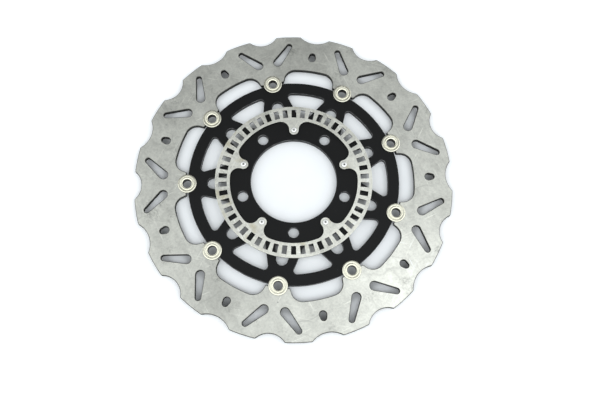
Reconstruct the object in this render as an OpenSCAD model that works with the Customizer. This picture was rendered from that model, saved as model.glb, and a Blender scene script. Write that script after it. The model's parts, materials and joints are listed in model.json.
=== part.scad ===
// Floating wave brake disc of a motorcycle: a steel brake ring hung on a carrier plate by nine bobbins,
// with a slotted speed-sensor ring riveted on the carrier.
// Origin: the middle of the hub bore, on the rear face that seats on the wheel hub. +Z points to the front.

/* [Brake ring] */
// Outside diameter over the crests of the wave
ring_d = 320; // [316:1:326]
// Thickness of the brake ring
ring_t = 5; // [4:0.5:6]
// Radius of the wave notch outboard of a bobbin
notch_a_r = 18.75; // [16:0.25:22]
// Depth of the wave notch outboard of a bobbin
notch_a_depth = 7.2; // [5:0.1:8]
// Radius of the wave notch between two bobbins
notch_b_r = 23.5; // [20:0.25:26]
// Depth of the wave notch between two bobbins
notch_b_depth = 6.3; // [5:0.1:8]
// Rounding of the crest corners
crest_round = 1.6; // [0.6:0.1:2.5]
// Radius of the outer edge of the inner windows
ring_window_r = 121.4; // [120:0.1:124]
// Rounding of the windows' outer corners
ring_window_round = 11.5; // [9:0.5:12]
// Radius of the inner edge of the tabs that hold the bobbins
tab_r = 108.5; // [107.5:0.1:109.5]

/* [Carrier] */
// Outside diameter of the carrier plate
carrier_d = 212.6; // [210:0.2:213.6]
// Thickness of the carrier plate
carrier_t = 5; // [4:0.5:6]
// Diameter of the bore that centres on the hub
hub_bore_d = 86.5; // [80:0.5:88]
// Diameter of the hub bolt holes
bolt_hole_d = 10.5; // [8.5:0.1:10.5]
// Diameter of the circle of the hub bolts and of the sensor ring's rivets
bolt_circle_d = 107; // [106:0.5:107.5]
// Radius of the outer edge of the large windows
large_window_r = 94.7; // [93:0.1:97]
// Radius of the outer end of the small windows
small_window_r = 86.9; // [84:0.1:88]

/* [Bobbins] */
// Diameter of the circle that the bobbins sit on
bobbin_circle_d = 214; // [213.6:0.1:214.4]
// Diameter of the bobbin's flange
flange_d = 19; // [17.5:0.1:20]
// Thickness of the bobbin's flange
flange_t = 1.2; // [1:0.1:1.6]
// Diameter of the bobbin's shank
shank_d = 13; // [12.4:0.1:13.4]
// Diameter of the hole through the bobbin
bobbin_bore_d = 8.8; // [7:0.1:9]
// Clearance around the shank in the brake ring's seat
ring_seat_gap = 0.25; // [0.22:0.01:0.35]
// Clearance around the shank in the carrier's seat
carrier_seat_gap = 0.05; // [0.03:0.01:0.08]

/* [Sensor ring] */
// Outside diameter of the sensor ring
tone_d = 158.2; // [154:0.2:160]
// Inside diameter of the sensor ring between its tabs
tone_bore_d = 128.6; // [128.2:0.2:131]
// Thickness of the sensor ring
tone_t = 2; // [1.5:0.1:2.5]
// Width of a sensor slot
tone_slot_w = 4.9; // [3.5:0.1:5]
// Length of a sensor slot, along the radius
tone_slot_l = 8.4; // [7:0.1:9]

/* [Hidden] */
$fn = 96;
bobbin_count = 9;
bolt_count = 5;
tone_slot_count = 50;
pitch = 360 / bobbin_count;
bolt_pitch = 360 / bolt_count;
bobbin_phase = 102;
rivet_phase = 90;
bolt_phase = rivet_phase + bolt_pitch / 2;
cut = 1;
// a rounding circle stands this much proud of the edges it joins, so that they cross and don't just touch
blend = 0.01;

ring_r = ring_d / 2;
carrier_r = carrier_d / 2;
bobbin_circle_r = bobbin_circle_d / 2;
bolt_circle_r = bolt_circle_d / 2;
shank_r = shank_d / 2;
tone_bore_r = tone_bore_d / 2;

// brake ring: tapered slots in pairs, and a small tapered hole between two pairs
slot_out = [149, 10, 2.7];
slot_in = [131.5, 4.5, 4.3];
hole_out = [139.2, 0, 2.8];
hole_in = [136.3, 0, 3.5];
tab_side_angle = 24.1;
window_corner_angle = 7.23;
// how far a window's sides run on inside the tabs' inner edge
window_mouth = 4;

// carrier windows
large_window_tip_r = 7;
large_window_tip_at = 74;
large_window_half_angle = 35;
large_window_round = 3.5;
// scale that carries a corner's middle past the edge that trims the window
past_edge = 1.1;
small_window_tip_r = 5.7;
small_window_foot_r = 2.5;
small_window_foot_at = [69, 5.7];

// shallow groove on the rear face, round the seat on the wheel hub
hub_seat_r = 61;
seat_groove_w = 1.5;
seat_groove_depth = 0.4;

// bobbin: heights of what is stacked on its shank behind the plates
axial_play = 0.05;
rim_bead_r = 1.05;
rim_bead_rise = 0.6;
rim_groove_at = 6.9;
rim_groove_r = 0.3;
flange_edge = 0.3;
wave_h = 1.2;
washer_t = 1;
clip_t = 1;
clip_groove_depth = 0.6;
shank_tail = 0.9;
shank_chamfer = 0.4;
washer_d = 17.6;
washer_gap = 0.05;
washer_top = -wave_h - axial_play;
clip_top = washer_top - washer_t - axial_play;
shank_end = clip_top - clip_t - axial_play - shank_tail;

// wave washer: a flat spring strip bent into three waves
wave_strip_t = 0.4;
wave_inner_r = 7;
wave_outer_r = 8.6;
wave_lobes = 3;
wave_steps = 36;

// circlip with two eared ends
clip_outer_r = 7.9;
clip_offset = 0.45;
clip_ear_r = 1.7;
clip_ear_at = [8.1, 24];
clip_hole_r = 0.75;
clip_mouth = 14;

// sensor ring tabs and the rivets that hold them
tone_tab_r = 4.8;
tone_tab_fillet = 8.6;
tone_slot_at = 71.5;
rivet_r = 2;
rivet_gap = 0.05;
rivet_head_r = 2.9;
rivet_head_h = 1.2;
rivet_dimple_r = 0.7;
rivet_foot_r = 3.2;
rivet_foot_h = 1.2;
rivet_recess_depth = 1.5;
rivet_recess_gap = 0.3;

// ---- plane geometry ----

function polar(r, a) = [r * cos(a), r * sin(a)];
function unit(v) = v / norm(v);
function right_of(v) = [v.y, -v.x];

// [radius, angle, circle radius] about the disc's axis -> [x, y, circle radius]
function round_at(p) = [p[0] * cos(p[1]), p[0] * sin(p[1]), p[2]];
function mirrored(c) = [c[0], -c[1], c[2]];
function middle(c) = [c[0], c[1]];

// outward direction of the straight edge that touches circle a and then circle b
function edge_normal(a, b) =
    let (d = middle(b) - middle(a), s = (a[2] - b[2]) / norm(d))
    unit(d) * s + unit(right_of(d)) * sqrt(1 - s * s);
function edge_start(a, b) = middle(a) + a[2] * edge_normal(a, b);
function edge_end(a, b) = middle(b) + b[2] * edge_normal(a, b);

// circles, taken counter-clockwise, joined by straight edges that touch them
module wrapped(circles) {
    n = len(circles);
    for (c = circles) translate(middle(c)) circle(c[2] + blend);
    polygon([
        for (i = [0:n - 1])
            let (a = circles[i], b = circles[(i + 1) % n])
            each [edge_start(a, b), edge_end(a, b)]
    ]);
}

// copies turned about the disc's axis
module around(count, phase) {
    for (i = [0:count - 1]) rotate(phase + i * 360 / count) children();
}

// ---- brake ring ----

// one wave notch, on the +X axis, that rounds the two crest corners beside it
module wave_notch(r, depth) {
    at = ring_r - depth + r;
    f = crest_round;
    // the rounding circle lies inside the rim and outside the notch
    far = ring_r - f;
    near = r + f;
    x = (far * far - near * near + at * at) / (2 * at);
    y = sqrt(far * far - x * x);
    translate([at, 0]) circle(r);
    for (side = [-1, 1]) {
        c = [x, side * y];
        touch_rim = unit(c) * (ring_r + cut / 2);
        touch_notch = [at, 0] + unit(c - [at, 0]) * (r - cut / 2);
        outboard = unit(touch_rim + touch_notch) * (ring_r + 2 * cut);
        difference() {
            polygon([c, touch_rim, outboard, touch_notch]);
            translate(c) circle(f + blend);
        }
    }
}

// one window between two tabs, open to the inside, on the +X axis
module ring_window() {
    at = ring_window_r - ring_window_round;
    corner = round_at([at, window_corner_angle, ring_window_round]);
    // the tab's side leans away from the bobbin's own axis
    lean = pitch / 2 - tab_side_angle;
    outward = [-sin(lean), cos(lean)];
    along = [cos(lean), sin(lean)];
    touch = middle(corner) + ring_window_round * outward;
    foot = touch - along * (touch.x - tab_r + window_mouth) / along.x;
    intersection() {
        circle(ring_window_r);
        polygon([
            [0, 0],
            polar(ring_r, -window_corner_angle),
            polar(ring_r, window_corner_angle)
        ]);
    }
    for (c = [corner, mirrored(corner)]) translate(middle(c)) circle(ring_window_round + blend);
    polygon([
        [foot.x, -foot.y], [touch.x, -touch.y], middle(mirrored(corner)),
        middle(corner), touch, foot
    ]);
}

module brake_ring() {
    color("silver") linear_extrude(ring_t) difference() {
        circle(ring_r);
        circle(tab_r);
        around(bobbin_count, bobbin_phase) {
            translate([bobbin_circle_r, 0]) circle(shank_r + ring_seat_gap);
            wave_notch(notch_a_r, notch_a_depth);
            wrapped([round_at(slot_out), round_at(slot_in)]);
            wrapped([mirrored(round_at(slot_out)), mirrored(round_at(slot_in))]);
        }
        around(bobbin_count, bobbin_phase + pitch / 2) {
            wave_notch(notch_b_r, notch_b_depth);
            wrapped([round_at(hole_out), round_at(hole_in)]);
            ring_window();
        }
    }
}

// ---- carrier ----

// large three-sided window between two bobbins, on the +X axis, with an outer edge along the rim
module large_window() {
    a = large_window_half_angle;
    along = [cos(a), sin(a)];
    tip = [large_window_tip_at, 0, large_window_tip_r];
    // the corner circle touches the side and the outer edge
    r = large_window_round;
    start = middle(tip) + (large_window_tip_r - r) * [-sin(a), cos(a)];
    far = large_window_r - r;
    b = start * along;
    s = sqrt(b * b - start * start + far * far) - b;
    corner_at = start + s * along;
    corner = [corner_at.x, corner_at.y, r];
    wrapped([tip, mirrored(corner), corner]);
    intersection() {
        circle(large_window_r);
        polygon([
            middle(corner), middle(mirrored(corner)),
            past_edge * middle(mirrored(corner)), past_edge * middle(corner)
        ]);
    }
}

// small window inboard of a bobbin, on the +X axis, with a round outer end and a wider foot
module small_window() {
    foot = [small_window_foot_at.x, small_window_foot_at.y, small_window_foot_r];
    wrapped([[small_window_r - small_window_tip_r, 0, small_window_tip_r], foot, mirrored(foot)]);
}

module carrier() {
    color([0.13, 0.13, 0.14]) difference() {
        linear_extrude(carrier_t) difference() {
            circle(carrier_r);
            circle(hub_bore_d / 2);
            around(bolt_count, bolt_phase) translate([bolt_circle_r, 0]) circle(bolt_hole_d / 2);
            around(bolt_count, rivet_phase) translate([bolt_circle_r, 0]) circle(rivet_r + rivet_gap);
            around(bobbin_count, bobbin_phase) {
                translate([bobbin_circle_r, 0]) circle(shank_r + carrier_seat_gap);
                small_window();
            }
            around(bobbin_count, bobbin_phase + pitch / 2) large_window();
        }
        // recesses that keep the rivets' feet below the hub face
        around(bolt_count, rivet_phase) translate([bolt_circle_r, 0, -cut])
            cylinder(h = cut + rivet_recess_depth, r = rivet_foot_r + rivet_recess_gap);
        translate([0, 0, -cut]) linear_extrude(cut + seat_groove_depth) difference() {
            circle(hub_seat_r + seat_groove_w);
            circle(hub_seat_r);
        }
    }
}

// ---- sensor ring and its rivets ----

// one inward tab with its fillets, on the +X axis
module tone_tab() {
    w = tone_tab_r + tone_tab_fillet;
    reach = tone_bore_r - tone_tab_fillet;
    x = sqrt(reach * reach - w * w);
    root = unit([x, w]) * (tone_bore_r + cut);
    translate([bolt_circle_r, 0]) circle(tone_tab_r + blend);
    difference() {
        polygon([
            [bolt_circle_r, -tone_tab_r], [x, -tone_tab_r], [x, -w], [root.x, -root.y],
            [tone_bore_r + cut, 0], root, [x, w], [x, tone_tab_r], [bolt_circle_r, tone_tab_r]
        ]);
        for (side = [-1, 1]) translate([x, side * w]) circle(tone_tab_fillet + blend);
    }
}

module tone_ring() {
    color([0.82, 0.82, 0.77]) translate([0, 0, carrier_t]) linear_extrude(tone_t) difference() {
        union() {
            difference() {
                circle(tone_d / 2);
                circle(tone_bore_r);
            }
            around(bolt_count, rivet_phase) tone_tab();
        }
        around(tone_slot_count, rivet_phase) translate([tone_slot_at, 0])
            square([tone_slot_l, tone_slot_w], center = true);
        around(bolt_count, rivet_phase) translate([bolt_circle_r, 0]) circle(rivet_r + rivet_gap);
    }
}

// dome-headed rivet with a dimple, turned about the Z axis, with its head on z = 0
module rivet() {
    dome_r = (rivet_head_r * rivet_head_r + rivet_head_h * rivet_head_h) / (2 * rivet_head_h);
    foot_z = -tone_t - carrier_t + rivet_recess_depth;
    rotate_extrude() difference() {
        union() {
            intersection() {
                translate([0, rivet_head_h - dome_r]) circle(dome_r);
                square([rivet_head_r, rivet_head_h]);
            }
            translate([0, foot_z - cut / 2]) square([rivet_r, cut / 2 - foot_z + cut / 4]);
            translate([0, foot_z - rivet_foot_h]) square([rivet_foot_r, rivet_foot_h]);
        }
        translate([0, rivet_head_h]) circle(rivet_dimple_r);
    }
}

module tone_ring_rivets() {
    color([0.92, 0.92, 0.92]) around(bolt_count, rivet_phase)
        translate([bolt_circle_r, 0, carrier_t + tone_t]) rivet();
}

// ---- bobbins and what holds them ----

// puts a piece on the axis of bobbin number i
module on_bobbin(i) {
    rotate(bobbin_phase + (i - 1) * pitch) translate([bobbin_circle_r, 0, 0]) children();
}

module bobbin(i) {
    flange_z = ring_t + axial_play;
    bore_r = bobbin_bore_d / 2;
    top = flange_z + flange_t;
    bead_at = [bore_r + rim_bead_r, top + rim_bead_rise - rim_bead_r];
    color([0.8, 0.8, 0.68]) on_bobbin(i) rotate_extrude() difference() {
        union() {
            polygon([
                [bore_r, shank_end], [shank_r - shank_chamfer, shank_end],
                [shank_r, shank_end + shank_chamfer], [shank_r, flange_z],
                [flange_d / 2, flange_z], [flange_d / 2, top - flange_edge],
                [flange_d / 2 - flange_edge, top], [bead_at.x, top], [bore_r, bead_at.y]
            ]);
            // bead rolled round the mouth of the hole
            translate(bead_at) circle(rim_bead_r + blend);
        }
        // groove between the bead and the flat of the flange
        translate([rim_groove_at, top]) circle(rim_groove_r);
        // groove of the circlip
        translate([shank_r - clip_groove_depth, clip_top - clip_t - axial_play])
            square([shank_r, clip_t + 2 * axial_play]);
    }
}

module flat_washer(i) {
    color([0.7, 0.7, 0.7]) on_bobbin(i) translate([0, 0, washer_top - washer_t]) difference() {
        cylinder(h = washer_t, d = washer_d);
        translate([0, 0, -cut]) cylinder(h = washer_t + 2 * cut, r = shank_r + washer_gap);
    }
}

// retaining ring with a mouth and two drilled ears, which point towards the rim of the disc
module circlip(i) {
    ear = round_at([clip_ear_at[0], clip_ear_at[1], clip_ear_r]);
    color([0.35, 0.35, 0.36]) on_bobbin(i) translate([0, 0, clip_top - clip_t])
        linear_extrude(clip_t) difference() {
            union() {
                translate([-clip_offset, 0]) circle(clip_outer_r);
                for (c = [ear, mirrored(ear)]) translate(middle(c)) circle(clip_ear_r);
            }
            circle(shank_r - clip_groove_depth + washer_gap);
            polygon([[0, 0], polar(2 * clip_outer_r, -clip_mouth), polar(2 * clip_outer_r, clip_mouth)]);
            for (c = [ear, mirrored(ear)]) translate(middle(c)) circle(clip_hole_r);
        }
}

// height of the wave washer's underside at angle a
function wave_z(a) = (wave_h - wave_strip_t) * (cos(wave_lobes * a) - 1) / 2 - wave_strip_t;

module wave_washer() {
    // four corners of the strip's section, at each step round the washer
    points = [
        for (i = [0:wave_steps - 1])
            let (a = i * 360 / wave_steps, z = wave_z(a))
            each [
                for (c = [[wave_inner_r, 0], [wave_outer_r, 0], [wave_outer_r, 1], [wave_inner_r, 1]])
                    [c[0] * cos(a), c[0] * sin(a), z + c[1] * wave_strip_t]
            ]
    ];
    faces = [
        for (i = [0:wave_steps - 1], k = [0:3])
            let (j = (i + 1) % wave_steps, m = (k + 1) % 4)
            each [[4 * i + k, 4 * i + m, 4 * j + m], [4 * i + k, 4 * j + m, 4 * j + k]]
    ];
    polyhedron(points = points, faces = faces, convexity = 6);
}

module wave_washers() {
    color([0.6, 0.6, 0.6]) for (i = [1:bobbin_count]) on_bobbin(i) wave_washer();
}

// ---- nodes ----

carrier();
brake_ring();
tone_ring();
tone_ring_rivets();
wave_washers();
for (i = [1:bobbin_count]) {
    bobbin(i);
    flat_washer(i);
    circlip(i);
}
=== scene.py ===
"""Looks of the floating wave brake disc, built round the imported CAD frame.

Lengths are in metres unless a comment says millimetres. The disc's axis is Z, with its front up.
"""
import json
import math

import bmesh
import bpy
from mathutils import Matrix, Vector, geometry


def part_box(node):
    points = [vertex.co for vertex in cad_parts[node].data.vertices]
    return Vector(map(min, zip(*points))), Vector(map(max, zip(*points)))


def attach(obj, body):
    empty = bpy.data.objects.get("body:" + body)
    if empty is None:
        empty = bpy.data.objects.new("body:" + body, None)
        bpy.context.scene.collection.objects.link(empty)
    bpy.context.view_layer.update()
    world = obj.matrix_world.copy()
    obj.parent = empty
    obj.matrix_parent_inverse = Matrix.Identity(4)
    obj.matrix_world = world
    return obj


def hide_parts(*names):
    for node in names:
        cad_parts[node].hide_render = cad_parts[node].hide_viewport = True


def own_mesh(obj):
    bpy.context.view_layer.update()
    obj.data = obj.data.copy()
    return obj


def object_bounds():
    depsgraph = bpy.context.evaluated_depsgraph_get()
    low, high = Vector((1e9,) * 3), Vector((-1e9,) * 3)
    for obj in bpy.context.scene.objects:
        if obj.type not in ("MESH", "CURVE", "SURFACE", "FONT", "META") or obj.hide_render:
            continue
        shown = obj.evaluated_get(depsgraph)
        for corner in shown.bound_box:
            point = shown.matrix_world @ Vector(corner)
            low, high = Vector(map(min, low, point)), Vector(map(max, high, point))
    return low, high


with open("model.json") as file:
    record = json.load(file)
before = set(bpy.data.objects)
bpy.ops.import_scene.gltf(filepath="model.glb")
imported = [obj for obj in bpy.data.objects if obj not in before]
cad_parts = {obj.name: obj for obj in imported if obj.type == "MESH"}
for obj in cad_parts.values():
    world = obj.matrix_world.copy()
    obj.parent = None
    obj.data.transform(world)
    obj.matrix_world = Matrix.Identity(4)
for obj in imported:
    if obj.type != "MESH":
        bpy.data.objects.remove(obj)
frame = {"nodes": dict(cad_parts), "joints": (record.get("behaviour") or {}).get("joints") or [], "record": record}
cad_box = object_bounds()

MM = 0.001
BOBBINS = range(1, 10)
SMOOTH_ANGLE = math.radians(32)


# ---- where things are, from the frame ----


def bobbin_axis(i):
    """The point at height 0 on the axis of bobbin number i."""
    spin = next(j for j in frame["joints"] if j["name"] == f"bobbin_{i}_spin")
    x, y, _ = spin["pos_m"]
    return Vector((x, y, 0))


# ---- materials ----


class Paint:
    """The nodes of one material. Each method adds a node and returns its output socket."""

    def __init__(self, name):
        self.material = bpy.data.materials.new(name)
        self.material.use_nodes = True
        self.tree = self.material.node_tree
        self.shader = self.tree.nodes["Principled BSDF"]
        self.place = self.add("TexCoord", out="Object")

    def add(self, kind, inputs=None, out=0, **settings):
        """Adds a shader node. inputs maps a socket's name or number to a value or another socket."""
        node = self.tree.nodes.new("ShaderNode" + kind)
        for key, value in settings.items():
            setattr(node, key, value)
        for key, value in (inputs or {}).items():
            self.put(node.inputs[key], value)
        return node.outputs[out]

    def put(self, socket, value):
        """Sets a socket to a value, or links another socket to it."""
        if is_socket(value):
            self.tree.links.new(value, socket)
        else:
            socket.default_value = value

    def finish(self, **inputs):
        """Sets the Principled shader's inputs. An underscore stands for a space. Returns the material."""
        for key, value in inputs.items():
            self.put(self.shader.inputs[key.replace("_", " ")], value)
        return self.material

    def moved(self, scale=(1, 1, 1), turn=0.0, at=None):
        """Coordinates turned about Z by some degrees, then scaled."""
        turned = self.add(
            "Mapping",
            {"Vector": at or self.place, "Rotation": (0, 0, math.radians(turn))},
        )
        return self.add("Mapping", {"Vector": turned, "Scale": scale})

    def radius(self):
        """The distance from the piece's own Z axis."""
        split = self.tree.nodes.new("ShaderNodeSeparateXYZ")
        self.put(split.inputs[0], self.place)
        x, y, _ = split.outputs
        return self.calc("SQRT", self.calc("MULTIPLY_ADD", x, x, self.calc("MULTIPLY", y, y)))

    def noise(self, scale, at=None, detail=4.0, roughness=0.55, warp=0.0):
        """Smooth noise from 0 to 1, with scale lumps to the metre."""
        return self.add(
            "TexNoise",
            {
                "Vector": at or self.place,
                "Scale": scale,
                "Detail": detail,
                "Roughness": roughness,
                "Distortion": warp,
            },
        )

    def cells(self, scale, feature="F1", out="Distance", at=None):
        """A cell pattern: distance from the cells' seeds or edges, or the cells' random colours."""
        return self.add(
            "TexVoronoi", {"Vector": at or self.place, "Scale": scale}, out=out, feature=feature
        )

    def ramp(self, value, *stops):
        """Maps a value through (position, grey or colour) stops to a colour."""
        node = self.tree.nodes.new("ShaderNodeValToRGB")
        self.put(node.inputs[0], value)
        band = node.color_ramp
        while len(band.elements) < len(stops):
            band.elements.new(0.5)
        for element, (position, colour) in zip(band.elements, stops):
            element.position = position
            element.color = (*rgb(colour), 1)
        return node.outputs[0]

    def mix(self, factor, a, b, blend="MIX"):
        """Blends colour b over colour a."""
        node = self.tree.nodes.new("ShaderNodeMix")
        node.data_type = "RGBA"
        node.blend_type = blend
        sockets = {s.identifier: s for s in node.inputs}
        self.put(sockets["Factor_Float"], factor)
        self.put(sockets["A_Color"], a if is_socket(a) else (*rgb(a), 1))
        self.put(sockets["B_Color"], b if is_socket(b) else (*rgb(b), 1))
        return next(s for s in node.outputs if s.identifier == "Result_Color")

    def between(self, value, start, end):
        """0 before the start, 1 after the end and a smooth rise between them."""
        return self.add(
            "MapRange",
            {"Value": value, "From Min": start, "From Max": end},
            interpolation_type="SMOOTHSTEP",
        )

    def spot(self, x, y, reach):
        """1 at a place in the XY plane, falling to 0 at some reach from it. All in millimetres."""
        away = self.add(
            "VectorMath", {0: self.place, 1: (x * MM, y * MM, 0)}, out="Value",
            operation="DISTANCE",
        )
        return self.between(away, reach * MM, 0)

    def calc(self, operation, *values):
        """A maths node."""
        return self.add("Math", dict(enumerate(values)), operation=operation)

    def bump(self, height, depth, strength=1.0):
        """A normal from a height pattern that is depth metres deep."""
        return self.add("Bump", {"Height": height, "Distance": depth, "Strength": strength})


def is_socket(value):
    return isinstance(value, bpy.types.NodeSocket)


def rgb(colour):
    """A colour as three numbers; a single number is a grey."""
    return (colour,) * 3 if isinstance(colour, (int, float)) else tuple(colour)


def tinted(level, tint):
    """A grey level with a tint."""
    return tuple(level * t for t in tint)


def hairlines(paint, directions, fineness, amount):
    """Long thin scratches in a few directions: a value that is 0 off them and about amount on them."""
    total = 0.0
    for turn in directions:
        lines = paint.noise(1.0, at=paint.moved((7, fineness, 1), turn), detail=1.5, roughness=0.4)
        thin = paint.ramp(lines, (0.635, 0), (0.655, 1), (0.66, 1), (0.68, 0))
        here = paint.ramp(paint.noise(38, at=paint.moved(turn=turn), detail=2), (0.5, 0), (0.62, 1))
        total = paint.calc("MULTIPLY_ADD", thin, here, total)
    return paint.calc("MULTIPLY", total, amount)


# how far the painted shade round a bobbin reaches over the brake ring, in millimetres
BOBBIN_SHADE_REACH = 12.5


def ground_steel(name, tint, level, contrast=1.0, stain=None, sheen_and_shade=(), bobbins=False):
    """Ground stainless steel: cloudy and streaky, with fine grain, smudges, scratches and pits.

    level is its mean brightness, and contrast scales the clouds and streaks. stain is the
    colour of a few patches. sheen_and_shade lists broad patches painted lighter or darker as
    painted reflections and painted shade, as (x, y, reach, gain) with the first three in
    millimetres. bobbins adds painted shade round the bobbins.
    """
    p = Paint(name)
    grain = p.noise(420, detail=5, roughness=0.75)
    clouds = p.noise(26, detail=5, roughness=0.6, warp=0.5)
    blotches = p.noise(120, detail=4, roughness=0.7)
    streaks = p.noise(1.0, at=p.moved((22, 160, 1), 58), detail=4, roughness=0.6)
    tone = p.calc("MULTIPLY_ADD", clouds, 0.24, p.calc("MULTIPLY", blotches, 0.24))
    tone = p.calc("MULTIPLY_ADD", streaks, 0.18, tone)
    tone = p.calc("MULTIPLY_ADD", grain, 0.34, tone)
    dark, light = level * (1 - 0.26 * contrast), level * (1 + 0.22 * contrast)
    colour = p.ramp(tone, (0.36, tinted(dark, tint)), (0.64, tinted(light, tint)))
    # faint lines where patches of film met
    push = p.add("VectorMath", {0: p.noise(30, detail=2), "Scale": 0.02}, operation="SCALE")
    drift = p.add("VectorMath", {0: p.place, 1: push}, operation="ADD")
    seams = p.ramp(p.cells(17, "DISTANCE_TO_EDGE", at=drift), (0.0, 1), (0.016, 0))
    faded = p.calc("MULTIPLY", seams, p.ramp(p.noise(14, detail=2), (0.42, 0), (0.62, 1)))
    colour = p.mix(p.calc("MULTIPLY", faded, 0.35), colour, tinted(dark * 0.72, tint))
    scratches = hairlines(p, (12, 64, 118, 155), 320, 0.65)
    colour = p.mix(scratches, colour, tinted(light * 1.2, tint))
    # speckled grey smudges
    where = p.ramp(p.noise(34, detail=5, roughness=0.65), (0.55, 0), (0.66, 1))
    specks = p.ramp(p.noise(520, detail=4, roughness=0.7), (0.46, 0), (0.58, 1))
    smudges = p.calc("MULTIPLY", where, p.calc("MULTIPLY_ADD", specks, 0.55, 0.08))
    colour = p.mix(smudges, colour, tinted(level * 0.42, tint))
    # small pits, in a few of the cells
    chosen = p.ramp(p.cells(75, out="Color"), (0.80, 0), (0.82, 1))
    pits = p.calc("MULTIPLY", p.ramp(p.cells(75), (0.035, 1), (0.06, 0)), chosen)
    colour = p.mix(p.calc("MULTIPLY", pits, 0.75), colour, level * 0.2)
    if stain:
        patches = p.ramp(p.noise(60, detail=3), (0.56, 0), (0.70, 1))
        colour = p.mix(p.calc("MULTIPLY", patches, 0.55), colour, stain)
    # painted reflections and painted shade: broad patches made lighter or darker
    for x, y, reach, gain in sheen_and_shade:
        share = p.calc("MULTIPLY_ADD", p.spot(x, y, reach), gain, 1.0)
        colour = p.add("VectorMath", {0: colour, "Scale": share}, operation="SCALE")
    # painted shade on the brake ring round each bobbin's flange
    if bobbins:
        for i in BOBBINS:
            x, y, _ = bobbin_axis(i) / MM
            painted_shade = p.calc("MULTIPLY", p.spot(x, y, BOBBIN_SHADE_REACH), 0.9)
            colour = p.mix(painted_shade, colour, level * 0.1)
    rough = p.calc("MULTIPLY_ADD", clouds, 0.14, 0.30)
    rough = p.calc("MULTIPLY_ADD", grain, 0.10, rough)
    height = p.calc("SUBTRACT", grain, p.calc("MULTIPLY", p.calc("ADD", pits, scratches), 2.0))
    return p.finish(
        Base_Color=colour,
        Metallic=1.0,
        Roughness=rough,
        Normal=p.bump(height, 0.00002, 0.35),
    )


def cut_steel(name, tint):
    """The cut walls of a steel plate: dull, with streaks across the plate's thickness."""
    p = Paint(name)
    streaks = p.noise(1.0, at=p.moved((1400, 1400, 60)), detail=3)
    # nearly black: partly the dark oxide of a cut edge and partly painted shade on the walls
    colour = p.ramp(streaks, (0.3, tinted(0.012, tint)), (0.7, tinted(0.035, tint)))
    return p.finish(
        Base_Color=colour,
        Metallic=0.0,
        Specular_IOR_Level=0.15,
        Roughness=p.calc("MULTIPLY_ADD", streaks, 0.2, 0.62),
        Normal=p.bump(streaks, 0.00006, 0.6),
    )


def black_anodised(name, level, edge_highlight=0.0):
    """Black anodised aluminium with a fine matt grain, and with pale patches painted on as highlights where
    edge_highlight is above 0.
    """
    p = Paint(name)
    grain = p.noise(2200, detail=2)
    clouds = p.noise(40, detail=4)
    tint = (1, 1, 1.05)
    colour = p.ramp(clouds, (0.3, tinted(level * 0.85, tint)), (0.7, tinted(level * 1.2, tint)))
    dust = p.ramp(p.noise(500, detail=3), (0.66, 0), (0.8, 1))
    colour = p.mix(p.calc("MULTIPLY", dust, 0.06), colour, 0.2)
    if edge_highlight:
        # painted highlights: pale patches on the edges
        highlight_patches = p.ramp(p.noise(160, detail=4), (0.40, 0), (0.68, 1))
        colour = p.mix(p.calc("MULTIPLY", highlight_patches, edge_highlight), colour, (0.45, 0.45, 0.44))
    return p.finish(
        Base_Color=colour,
        Metallic=0.0,
        Roughness=p.calc("MULTIPLY_ADD", grain, 0.12, 0.40),
        Specular_IOR_Level=0.235,
        Normal=p.bump(grain, 0.00002, 0.4),
    )


def turned_metal(name, colour, roughness, rings=0.35, painted_shade=()):
    """Turned metal: fine tool marks round the piece's own Z axis, and uneven plating.

    rings is how strongly the tool marks stand out. painted_shade lists bands of painted shade
    as (inner radius, outer radius, strength), with the radii in millimetres.
    """
    p = Paint(name)
    radius = p.radius()
    marks = p.noise(5000, at=p.add("CombineXYZ", {"X": radius}), detail=2)
    plating = p.noise(260, detail=4)
    specks = p.noise(1100, detail=3)
    tone = p.ramp(plating, (0.35, tinted(0.90, colour)), (0.65, tinted(1.05, colour)))
    tone = p.mix(p.calc("MULTIPLY", marks, 0.22), tone, tinted(0.6, colour))
    # millimetres over which a band of painted shade fades out
    fade = 0.15
    # painted shade in bands round the piece's axis, in its hollows and at its rims
    for inner, outer, strength in painted_shade:
        band = p.calc(
            "MULTIPLY",
            p.between(radius, (inner - fade) * MM, inner * MM),
            p.between(radius, (outer + fade) * MM, outer * MM),
        )
        uneven = p.calc("MULTIPLY_ADD", specks, 0.3, strength - 0.15)
        tone = p.mix(p.calc("MULTIPLY", band, uneven), tone, tinted(0.06, colour))
    return p.finish(
        Base_Color=tone,
        Metallic=1.0,
        Roughness=p.calc("MULTIPLY_ADD", plating, 0.12, roughness),
        Normal=p.bump(marks, 0.00002, rings),
    )


STEEL_TINT = (1.0, 0.995, 0.91)
SENSOR_TINT = (1.0, 0.99, 0.90)
STRAW = (0.52, 0.46, 0.28)
ALUMINIUM = (1.0, 1.0, 0.97)
ZINC = (0.98, 0.95, 0.79)

# painted reflections and painted shade: broad patches of the brake ring painted lighter or darker: x, y and reach
# (mm), and gain
PAINTED_SHEEN_AND_SHADE = [(110, -105, 100, 0.42), (-75, -115, 60, -0.22), (20, 150, 100, -0.10)]
# painted shade in the bore, in the groove and at the rim of a bobbin, and in the dimple and at the rim
# of a rivet's head: inner and outer radius (mm), and strength
BOBBIN_SHADE_BANDS = [(0, 4.5, 1.2), (6.6, 7.1, 0.2), (9.35, 10, 0.8)]
RIVET_SHADE_BANDS = [(0, 0.8, 0.9), (2.75, 3.3, 0.8)]

ring_face = ground_steel("ring_face", STEEL_TINT, 0.69, sheen_and_shade=PAINTED_SHEEN_AND_SHADE, bobbins=True)
ring_wall = cut_steel("ring_wall", STEEL_TINT)
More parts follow.
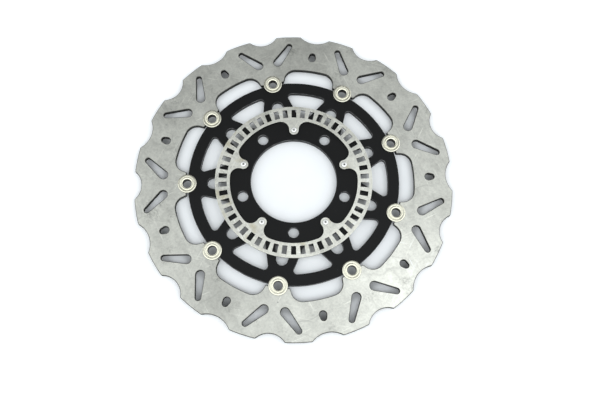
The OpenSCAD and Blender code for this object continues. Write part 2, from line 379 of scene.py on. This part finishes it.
# the brake ring's rounded edges are painted nearly black, as painted shade along its outlines
ring_edge = ground_steel("ring_edge", STEEL_TINT, 0.09)
sensor_face = ground_steel("sensor_face", SENSOR_TINT, 0.85, contrast=1.1, stain=STRAW)
sensor_edge = ground_steel("sensor_edge", SENSOR_TINT, 0.9)
sensor_wall = cut_steel("sensor_wall", SENSOR_TINT)
carrier_face = black_anodised("carrier_face", 0.003)
carrier_wall = black_anodised("carrier_wall", 0.003)
# the carrier's rounded edges are painted paler than its faces, as painted highlights
carrier_edge = black_anodised("carrier_edge", 0.02, edge_highlight=0.4)
bobbin_metal = turned_metal("bobbin_metal", ZINC, 0.20, rings=0.15, painted_shade=BOBBIN_SHADE_BANDS)
rivet_metal = turned_metal("rivet_metal", ALUMINIUM, 0.42, rings=0.15, painted_shade=RIVET_SHADE_BANDS)
washer_metal = turned_metal("washer_metal", (0.62, 0.62, 0.58), 0.32)
spring_metal = turned_metal("spring_metal", (0.46, 0.45, 0.40), 0.34)
clip_metal = turned_metal("clip_metal", (0.10, 0.10, 0.10), 0.42)


# ---- pieces ----


def piece(name, mesh, materials, body=None, slot=None, stands_for=(), at=(0, 0, 0)):
    """Links a closed bmesh as an object whose origin is at a point of the frame.

    It rides on a body, in place of the CAD nodes that it stands for, with the given materials. slot is not used.
    """
    bmesh.ops.translate(mesh, verts=mesh.verts, vec=-Vector(at))
    for face in mesh.faces:
        face.smooth = True
    for edge in mesh.edges:
        kinds = {f.material_index for f in edge.link_faces}
        edge.smooth = len(kinds) == 1 and edge.calc_face_angle(0) < SMOOTH_ANGLE
    data = bpy.data.meshes.new(name)
    mesh.to_mesh(data)
    mesh.free()
    for material in materials:
        data.materials.append(material)
    obj = bpy.data.objects.new(name, data)
    obj.location = at
    bpy.context.scene.collection.objects.link(obj)
    if body:
        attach(obj, body)
        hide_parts(*stands_for)
    return obj


# ---- flat pieces, rebuilt from the CAD's outlines with finer arcs and softened edges ----

# points of the CAD's mesh that are closer than this are one
WELD = 0.002 * MM
# the least upright part of a level face's normal
LEVEL = 0.99
# how far apart the boxes of one wall's two outlines can be
SAME_PATH = 0.3 * MM
# how far a chord can lie from its arc
SAG = 0.006 * MM
# the places of a plate's materials
FACE, WALL, EDGE = range(3)


def outlines(node):
    """The closed outlines of a CAD plate's level faces, each with its face on the left.

    Each is (height, looks up, is convex, points). At a convex outline the plate ends; at
    any other one a wall rises from the face.
    """
    mesh = bmesh.new()
    mesh.from_mesh(frame["nodes"][node].data)
    bmesh.ops.remove_doubles(mesh, verts=mesh.verts, dist=WELD)
    onward = {}
    for face in mesh.faces:
        if abs(face.normal.z) < LEVEL:
            continue
        up = face.normal.z > 0
        for corner in face.loops:
            wall = [f for f in corner.edge.link_faces if abs(f.normal.z) < LEVEL]
            if wall:
                a, b = corner.vert, corner.link_loop_next.vert
                convex = (wall[0].calc_center_median().z < a.co.z) == up
                start, end = (a, b) if up else (b, a)
                onward[start, up] = end, convex
    found = []
    while onward:
        here, up = next(iter(onward))
        height = here.co.z
        points = []
        while (here, up) in onward:
            points.append(here.co.xy)
            here, convex = onward.pop((here, up))
        found.append((height, up, convex, points))
    mesh.free()
    return found


def extent(points):
    """The sides of a path's box, as one vector."""
    xs = [p.x for p in points]
    ys = [p.y for p in points]
    return Vector((min(xs), max(xs), min(ys), max(ys)))


def walls(node):
    """The upright walls of a CAD plate, as (path with the metal on its left, upper, lower outline)."""
    left = outlines(node)
    found = []
    while left:
        one = left.pop()
        size = extent(one[3])
        other = min(left, key=lambda o: (extent(o[3]) - size).length)
        assert (extent(other[3]) - size).length < SAME_PATH
        left.remove(other)
        upper, lower = sorted((one, other), key=lambda o: -o[0])
        path = upper[3] if upper[2] else lower[3]
        found.append((finer(path), upper, lower))
    return found


def arc_centre(a, b, c):
    """The centre of the arc that a, b and c are evenly spaced on, or None."""
    before, after = b - a, c - b
    if abs(before.length - after.length) > 0.01 * before.length:
        return None
    turn = abs(before.angle_signed(after))
    if not math.radians(0.2) < turn < math.radians(50):
        return None
    inward = (after - before).normalized()
    return b + inward * (before.length / 2 / math.sin(turn / 2))


def finer(path):
    """The same closed path, with each arc cut into chords that sag by no more than SAG."""
    count = len(path)
    made = []
    for i, b in enumerate(path):
        a, c, d = path[i - 1], path[(i + 1) % count], path[(i + 2) % count]
        made.append(b)
        centre = arc_centre(a, b, c) or arc_centre(b, c, d)
        if centre is None:
            continue
        spoke = b - centre
        sweep = spoke.angle_signed(c - centre)
        steps = math.ceil(abs(sweep) / (2 * math.acos(1 - SAG / spoke.length)))
        for k in range(1, steps):
            made.append(centre + Matrix.Rotation(-sweep * k / steps, 2) @ spoke)
    return made


def leftward(path):
    """For each point of a closed path, the step that moves both its edges left by 1."""
    steps = []
    for i, here in enumerate(path):
        before = (here - path[i - 1]).normalized()
        after = (path[(i + 1) % len(path)] - here).normalized()
        left = Vector((-before.y - after.y, before.x + after.x))
        steps.append(left / (1 + before.dot(after)))
    return steps


def soft_edge(height, inward, width):
    """A quarter round from a level face down, or up, to the wall: (inset, height) of its rings."""
    half = width * (1 - math.sqrt(0.5))
    return [(width, height), (half, height + inward * half), (0, height + inward * width)]


def is_clockwise(points):
    """Whether a closed path runs clockwise, seen from above."""
    return sum(a.xy.cross(b.xy) for a, b in zip(points, points[1:] + points[:1])) < 0


def filled(mesh, rings, up):
    """Fills the level face that some rings of vertices bound."""
    corners = [v for ring in rings for v in ring]
    loops = []
    for ring in rings:
        first = sum(len(loop) for loop in loops)
        loop = list(range(first, first + len(ring)))
        loops.append(loop[::-1] if is_clockwise([v.co for v in ring]) else loop)
    spread = geometry.delaunay_2d_cdt([v.co.xy / MM for v in corners], [], loops, 1, 1e-6)
    for triangle, covers in zip(spread[2], spread[5]):
        # a place that lies within an even number of the rings is a hole
        if len(set(covers)) % 2:
            around = [corners[spread[3][k][0]] for k in triangle]
            face = mesh.faces.new(around if up else around[::-1])
            face.material_index = FACE


def plate(name, node, softness, materials, **where):
    """A flat CAD node rebuilt with soft edges. materials are those of its faces, walls and edges."""
    mesh = bmesh.new()
    levels = {}
    for path, upper, lower in walls(node):
        section = soft_edge(upper[0], -1, softness) if upper[2] else [(0, upper[0])]
        section += reversed(soft_edge(lower[0], 1, softness)) if lower[2] else [(0, lower[0])]
        aside = leftward(path)
        rings = [
            [mesh.verts.new((*(p + side * inset), height)) for p, side in zip(path, aside)]
            for inset, height in section
        ]
        for k, (high, low) in enumerate(zip(rings, rings[1:])):
            is_wall = section[k][0] == section[k + 1][0]
            for i in range(len(path)):
                j = (i + 1) % len(path)
                face = mesh.faces.new((high[i], low[i], low[j], high[j]))
                face.material_index = WALL if is_wall else EDGE
        levels.setdefault((round(upper[0] / WELD), upper[1]), []).append(rings[0])
        levels.setdefault((round(lower[0] / WELD), lower[1]), []).append(rings[-1])
    for (_, up), rings in levels.items():
        filled(mesh, rings, up)
    return piece(name, mesh, materials, stands_for=[node], **where)


# how far each plate's edges are rounded
RING_SOFT = 0.6 * MM
CARRIER_SOFT = 0.35 * MM
SENSOR_SOFT = 0.16 * MM
WASHER_SOFT = 0.2 * MM
CLIP_SOFT = 0.1 * MM

plate(
    "ring_plate", "brake_ring", RING_SOFT, [ring_face, ring_wall, ring_edge],
    body="brake_ring", slot="ring_steel",
)
plate(
    "carrier_plate", "carrier", CARRIER_SOFT, [carrier_face, carrier_wall, carrier_edge],
    body="carrier", slot="carrier_black",
)
plate(
    "sensor_plate", "tone_ring", SENSOR_SOFT, [sensor_face, sensor_wall, sensor_edge],
    body="carrier", slot="sensor_steel",
)
for i in BOBBINS:
    where = {"body": f"bobbin_{i}", "at": bobbin_axis(i)}
    plate(f"flat_washer_{i}_plate", f"flat_washer_{i}", WASHER_SOFT, [washer_metal] * 3,
          slot="washer_steel", **where)
    plate(f"circlip_{i}_plate", f"circlip_{i}", CLIP_SOFT, [clip_metal] * 3,
          slot="clip_steel", **where)


# ---- turned pieces ----


def rounded(points, step=math.radians(12)):
    """A closed (x, y, radius) outline, with each corner rounded to its radius, in steps of an angle."""
    made = []
    for i, (x, y, radius) in enumerate(points):
        here = Vector((x, y))
        if not radius:
            made.append(here)
            continue
        to_last = (Vector(points[i - 1][:2]) - here).normalized()
        to_next = (Vector(points[(i + 1) % len(points)][:2]) - here).normalized()
        half = to_last.angle(to_next) / 2
        centre = here + (to_last + to_next).normalized() * radius / math.sin(half)
        spoke = here + to_last * radius / math.tan(half) - centre
        sweep = spoke.angle_signed(here + to_next * radius / math.tan(half) - centre)
        steps = max(2, math.ceil(abs(sweep) / step))
        for k in range(steps + 1):
            made.append(centre + Matrix.Rotation(-sweep * k / steps, 2) @ spoke)
    return made


def lathe(mesh, section, axis, steps=96):
    """Adds the solid that a closed (radius, height) outline makes when turned about an axis."""
    rings = []
    for radius, height in section:
        if radius < WELD:
            rings.append([mesh.verts.new((axis.x, axis.y, height))] * steps)
            continue
        angles = [2 * math.pi * k / steps for k in range(steps)]
        rings.append([
            mesh.verts.new((axis.x + radius * math.cos(a), axis.y + radius * math.sin(a), height))
            for a in angles
        ])
    for one, other in zip(rings, rings[1:] + rings[:1]):
        for k in range(steps):
            m = (k + 1) % steps
            corners = dict.fromkeys((one[k], one[m], other[m], other[k]))
            if len(corners) > 2:
                mesh.faces.new(corners)
    bmesh.ops.recalc_face_normals(mesh, faces=mesh.faces)


def bobbin_section(low, high):
    """Half of a bobbin's section: a shank with a clip groove, and a flange with a groove and a lip.

    The sizes in it are in millimetres, and those in what it returns are in metres.
    """
    bore, lip, shank, flange = 4.4, 6.2, 6.5, 9.5
    seat, face = 5.05, 6.25
    clip_top, clip_bottom, clip_floor = -2.25, -3.35, 5.9
    groove_inner, groove_outer, groove_floor = 6.8, 7.05, face - 0.2
    end, top = low / MM, high / MM
    outline = [
        (bore, end, 0.25), (shank, end, 0.4),
        (shank, clip_bottom, 0.08), (clip_floor, clip_bottom, 0), (clip_floor, clip_top, 0),
        (shank, clip_top, 0.08), (shank, seat, 0),
        (flange, seat, 0.15), (flange, face - 0.2, 0.4), (flange - 1.0, face, 1.5),
        (groove_outer + 0.25, face - 0.06, 0.2), (groove_outer, groove_floor, 0.1),
        (groove_inner, groove_floor, 0.1), (groove_inner - 0.25, face - 0.05, 0.15),
        (lip + 0.2, face - 0.05, 0.2), (lip, top, 0.45), (bore, top, 1.3),
    ]
    return [(p.x * MM, p.y * MM) for p in rounded(outline)]


def rivet_section(low, high):
    """Half of a rivet's section, in the same units: a dimpled dome, a shank and a flat foot."""
    end, top = low / MM, high / MM
    head, shank, foot = 2.9, 2.0, 3.2
    foot_top, seat = end + 1.2, top - 0.97
    dimple, dimple_bottom, dimple_floor = 1.05, 0.35, top - 0.7
    outline = [
        (0, end, 0), (foot, end, 0.3), (foot, foot_top, 0.1), (shank, foot_top, 0),
        (shank, seat, 0), (head, seat, 0.08), (head, seat + 0.3, 0.25), (2.3, top - 0.15, 0.8),
        (1.5, top, 0.5), (dimple, top, 0.12), (dimple_bottom, dimple_floor, 0.2), (0, dimple_floor, 0),
    ]
    return [(p.x * MM, p.y * MM) for p in rounded(outline)]


for i in BOBBINS:
    mesh = bmesh.new()
    low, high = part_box(f"bobbin_{i}")
    lathe(mesh, bobbin_section(low.z, high.z), bobbin_axis(i))
    piece(
        f"bobbin_{i}_turned", mesh, [bobbin_metal], at=bobbin_axis(i),
        body=f"bobbin_{i}", slot="bobbin_plated", stands_for=[f"bobbin_{i}"],
    )

pattern = next(m for m in frame["record"]["mounts"] if m["name"] == "hub_bolts")["dims"]
rivet_circle = pattern["pcd_mm"] / 2 * MM
for k in range(pattern["count"]):
    angle = math.pi / 2 + 2 * math.pi * k / pattern["count"]
    axis = Vector((rivet_circle * math.cos(angle), rivet_circle * math.sin(angle), 0))
    mesh = bmesh.new()
    low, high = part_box("tone_ring_rivets")
    lathe(mesh, rivet_section(low.z, high.z), axis, steps=48)
    piece(
        f"sensor_rivet_{k + 1}", mesh, [rivet_metal], at=axis,
        body="carrier", slot="rivet_aluminium", stands_for=["tone_ring_rivets"],
    )


# ---- wave washers ----


def wave_washer(i):
    """A flat spring strip with softened edges, bent into three waves, round bobbin number i."""
    inner, outer, thick = 7.0 * MM, 8.6 * MM, 0.4 * MM
    lobes, steps = 3, 96
    low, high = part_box("wave_washers")
    swing = (high.z - low.z - thick) / 2
    axis = bobbin_axis(i)
    start = math.atan2(axis.y, axis.x)
    section = rounded([(inner, 0, thick / 4), (outer, 0, thick / 4),
                       (outer, thick, thick / 4), (inner, thick, thick / 4)])
    mesh = bmesh.new()
    rings = []
    for k in range(steps):
        turn = 2 * math.pi * k / steps
        lift = high.z - thick + swing * (math.cos(lobes * turn) - 1)
        reach = Vector((math.cos(start + turn), math.sin(start + turn)))
        rings.append([mesh.verts.new((*(axis.xy + reach * p.x), lift + p.y)) for p in section])
    for one, other in zip(rings, rings[1:] + rings[:1]):
        for m in range(len(section)):
            n = (m + 1) % len(section)
            mesh.faces.new((one[m], one[n], other[n], other[m]))
    bmesh.ops.recalc_face_normals(mesh, faces=mesh.faces)
    obj = piece(f"wave_washer_{i}", mesh, [spring_metal], at=axis,
                body="spring_set", slot="spring_steel", stands_for=["wave_washers"])
    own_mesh(obj)


for i in BOBBINS:
    wave_washer(i)


# ---- floor, light and camera ----


# how much further out the brake ring's small holes are than the bobbins
SMALL_HOLE_OUT = 1.30
# rings of the floor that the disc shades: start, full, last, end (radii in mm) and depth
FLOOR_SHADE = [
    (62, 66, 73, 78, 0.65),
    (114, 127, 129, 136, 0.5),
    (126, 131, 145, 150, 0.25),
    (140, 149, 150, 153, 0.5),
]
# how far the spots of painted shade under a bobbin's bore and under a small hole reach (mm)
BORE_SPOT = 10
SMALL_HOLE_SPOT = 12
# where the floor's painted glow beyond the disc starts and is full (radii in mm), and its strength; it is painted
# light that washes out the disc's shadow
GLOW = (149, 156, 0.15)
FLOOR_SIZE = 3.0
FLOOR_GAP = 0.05 * MM


def floor():
    """A plain pale floor just under the disc.

    It is painted darker where the sensor ring and the brake ring shade it and under the small
    openings, and it glows a little beyond the disc, as painted light that washes out the disc's
    shadow there.
    """
    mesh = bmesh.new()
    bmesh.ops.create_grid(mesh, x_segments=1, y_segments=1, size=FLOOR_SIZE)
    paint = Paint("floor_paint")
    speckle = paint.noise(60, detail=3)
    colour = paint.ramp(speckle, (0.3, (0.90, 0.91, 0.92)), (0.7, (0.92, 0.93, 0.94)))
    radius = paint.radius()
    for start, full, last, end, depth in FLOOR_SHADE:
        band = paint.calc(
            "MULTIPLY",
            paint.between(radius, start * MM, full * MM),
            paint.between(radius, end * MM, last * MM),
        )
        colour = paint.mix(paint.calc("MULTIPLY", band, depth), colour, 0.2)
    # painted shade on the floor under each bobbin's bore and each small hole
    for i in BOBBINS:
        axis = bobbin_axis(i)
        small_hole = Matrix.Rotation(math.pi / len(BOBBINS), 3, "Z") @ axis * SMALL_HOLE_OUT
        for (x, y, _), reach in ((axis / MM, BORE_SPOT), (small_hole / MM, SMALL_HOLE_SPOT)):
            colour = paint.mix(paint.spot(x, y, reach), colour, 0.05)
    # painted light: the floor glows beyond the disc
    start, full, strength = GLOW
    glow = paint.calc("MULTIPLY", paint.between(radius, start * MM, full * MM), strength)
    material = paint.finish(
        Base_Color=colour, Roughness=0.9, Emission_Color=(1, 1, 1, 1), Emission_Strength=glow
    )
    obj = piece("floor", mesh, [material], at=(0, 0, cad_box[0].z - FLOOR_GAP))


def surroundings():
    """A soft, even light tent, with a dim patch high up beyond the disc's upper edge."""
    bright, dim = 1.44, 0.20
    patch = Vector((-0.16, 0.88, 1.0)).normalized()
    patch_edge, patch_middle = math.radians(45), math.radians(14)
    world = bpy.data.worlds.new("tent")
    world.use_nodes = True
    tree = world.node_tree
    back = tree.nodes["Background"]
    place = tree.nodes.new("ShaderNodeTexCoord").outputs["Generated"]
    toward = tree.nodes.new("ShaderNodeVectorMath")
    toward.operation = "DOT_PRODUCT"
    tree.links.new(place, toward.inputs[0])
    toward.inputs[1].default_value = patch
    glow = tree.nodes.new("ShaderNodeMapRange")
    glow.interpolation_type = "SMOOTHSTEP"
    tree.links.new(toward.outputs["Value"], glow.inputs["Value"])
    glow.inputs["From Min"].default_value = math.cos(patch_edge)
    glow.inputs["From Max"].default_value = math.cos(patch_middle)
    glow.inputs["To Min"].default_value = bright
    glow.inputs["To Max"].default_value = dim
    tree.links.new(glow.outputs["Result"], back.inputs["Strength"])
    back.inputs["Color"].default_value = (0.94, 0.98, 1.0, 1)
    bpy.context.scene.world = world


def camera():
    """Above the disc and a little towards its lower edge, looking slightly off its middle."""
    tilt = math.radians(-14.93)
    lean = math.radians(0.65)
    distance = 664.9 * MM
    aim_off = Vector((-6.27 * MM, 19.42 * MM, -distance))
    focus_height = 4.63 * MM
    to_camera = Matrix.Rotation(tilt, 3, "X") @ Matrix.Rotation(lean, 3, "Y")
    to_world = to_camera.transposed()
    lens = bpy.data.cameras.new("camera")
    lens.sensor_width = 36
    lens.lens = 39.6
    obj = bpy.data.objects.new("camera", lens)
    obj.matrix_world = (
        Matrix.Translation(Vector((0, 0, focus_height)) - to_world @ aim_off)
        @ to_world.to_4x4()
    )
    bpy.context.scene.collection.objects.link(obj)
    bpy.context.scene.camera = obj


floor()
surroundings()
camera()
bpy.context.scene.view_settings.view_transform = "Standard"
